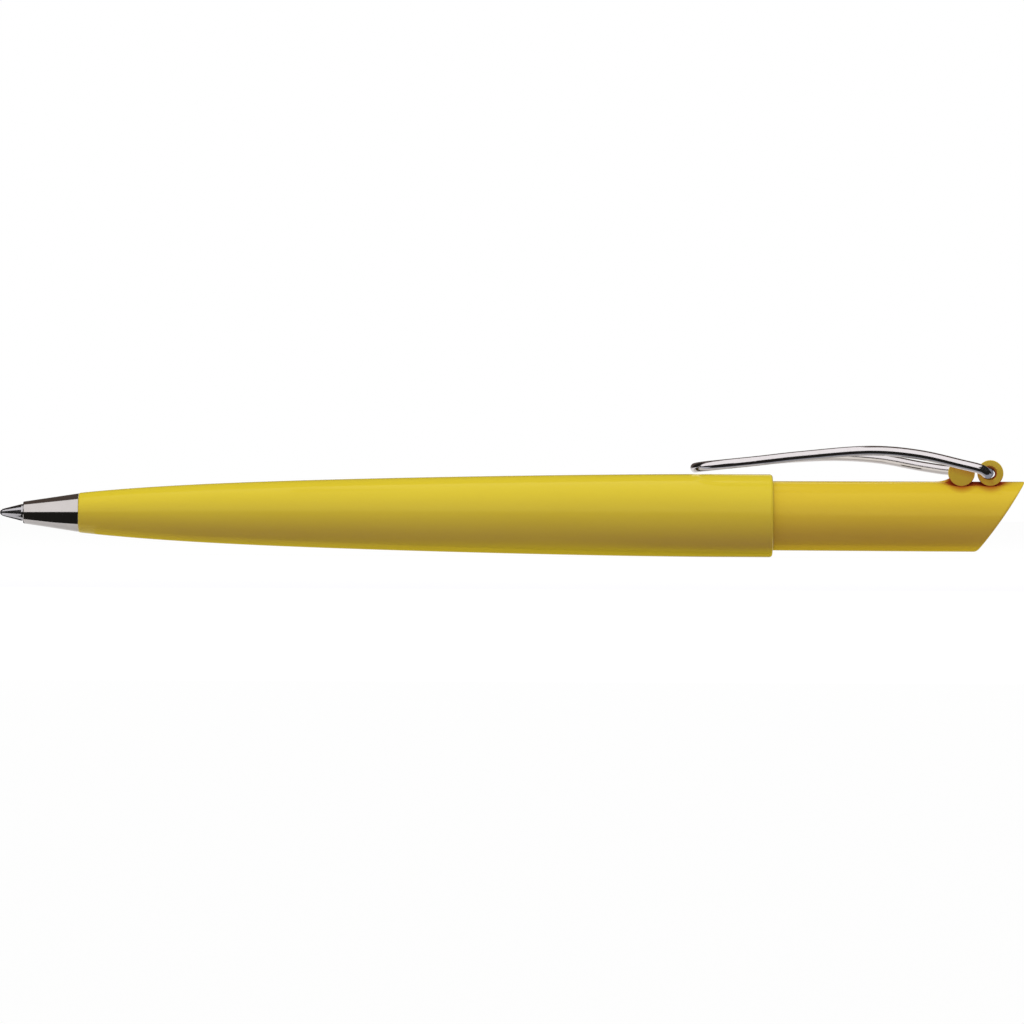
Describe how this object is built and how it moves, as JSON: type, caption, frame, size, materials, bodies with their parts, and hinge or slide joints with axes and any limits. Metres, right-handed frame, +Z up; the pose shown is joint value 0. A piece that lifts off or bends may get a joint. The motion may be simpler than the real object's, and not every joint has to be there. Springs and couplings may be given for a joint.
{
  "type": "pushbutton ballpoint pen",
  "caption": "Slim plastic retractable ballpoint pen with a metal nose cone, a sliding rear push button with a slanted end, and a sprung U-shaped wire clip.",
  "frame": {"origin": "middle of the pen's length, on the surface that the barrel's lowest flat rests on", "axes": "+X along the pen towards the push button, +Y across the pen, away from the side the picture shows, +Z up through the clip"},
  "size_m": [0.14, 0.0114, 0.0152],
  "materials": {
    "barrel_plastic": "glossy opaque yellow moulding",
    "pusher_plastic": "glossy opaque yellow moulding, slightly warmer",
    "nose_chrome": "polished plated metal",
    "point_metal": "turned nickel silver",
    "ball_metal": "ground carbide",
    "clip_chrome": "polished plated spring wire",
    "spring_steel": "drawn spring wire",
    "tube_plastic": "milky extruded tube",
    "ink": "blue paste ink",
    "carrier_plastic": "natural white moulding",
    "plug_plastic": "black moulding",
    "latch_plastic": "natural acetal moulding",
    "rotor_plastic": "black acetal moulding"
  },
  "bodies": {
    "barrel_body": {"barrel": "barrel_plastic", "guide_sleeve": "latch_plastic"},
    "spring_body": {"return_spring": "spring_steel"},
    "nose_body": {"nose_cone": "nose_chrome"},
    "pusher_body": {"pusher": "pusher_plastic", "plunger": "latch_plastic"},
    "refill_body": {"refill_point": "point_metal", "refill_adapter": "carrier_plastic", "refill_tube": "tube_plastic", "ink_column": "ink", "refill_tail_plug": "plug_plastic"},
    "rotor_body": {"cam_rotor": "rotor_plastic"},
    "ball_body": {"writing_ball": "ball_metal"},
    "clip_body": {"wire_clip": "clip_chrome"}
  },
  "joints": [
    {"name": "pusher_slide", "type": "slide", "parent": "barrel_body", "child": "pusher_body", "axis": [1, 0, 0], "range_m": [0, 0.005]},
    {"name": "refill_slide", "type": "slide", "parent": "barrel_body", "child": "refill_body", "axis": [1, 0, 0], "range_m": [0, 0.005], "deforming": ["return_spring"]},
    {"name": "cam_turn", "type": "hinge", "parent": "refill_body", "child": "rotor_body", "pos_m": [0.036, 0, 0.00567], "axis": [1, 0, 0], "continuous": true},
    {"name": "clip_flex", "type": "hinge", "parent": "pusher_body", "child": "clip_body", "pos_m": [0.06341, 0, 0.01174], "axis": [0, 1, 0], "range_deg": [0, 6], "stiffness_Nm_per_rad": 0.7},
    {"name": "ball_roll", "type": "hinge", "parent": "refill_body", "child": "ball_body", "pos_m": [-0.0696, 0, 0.00567], "axis": [0, 1, 0], "continuous": true},
    {"name": "nose_advance", "type": "slide", "parent": "barrel_body", "child": "spring_body", "axis": [-1, 0, 0], "range_m": [0, 0.0045]},
    {"name": "nose_turn", "type": "hinge", "parent": "spring_body", "child": "nose_body", "pos_m": [-0.0607, 0, 0.00567], "axis": [-1, 0, 0], "range_deg": [0, 2160]}
  ],
  "couplings": [
    {"joint": "refill_slide", "follows": "pusher_slide", "ratio": 1},
    {"joint": "nose_turn", "follows": "nose_advance", "rad_per_m": 8377.6}
  ]
}
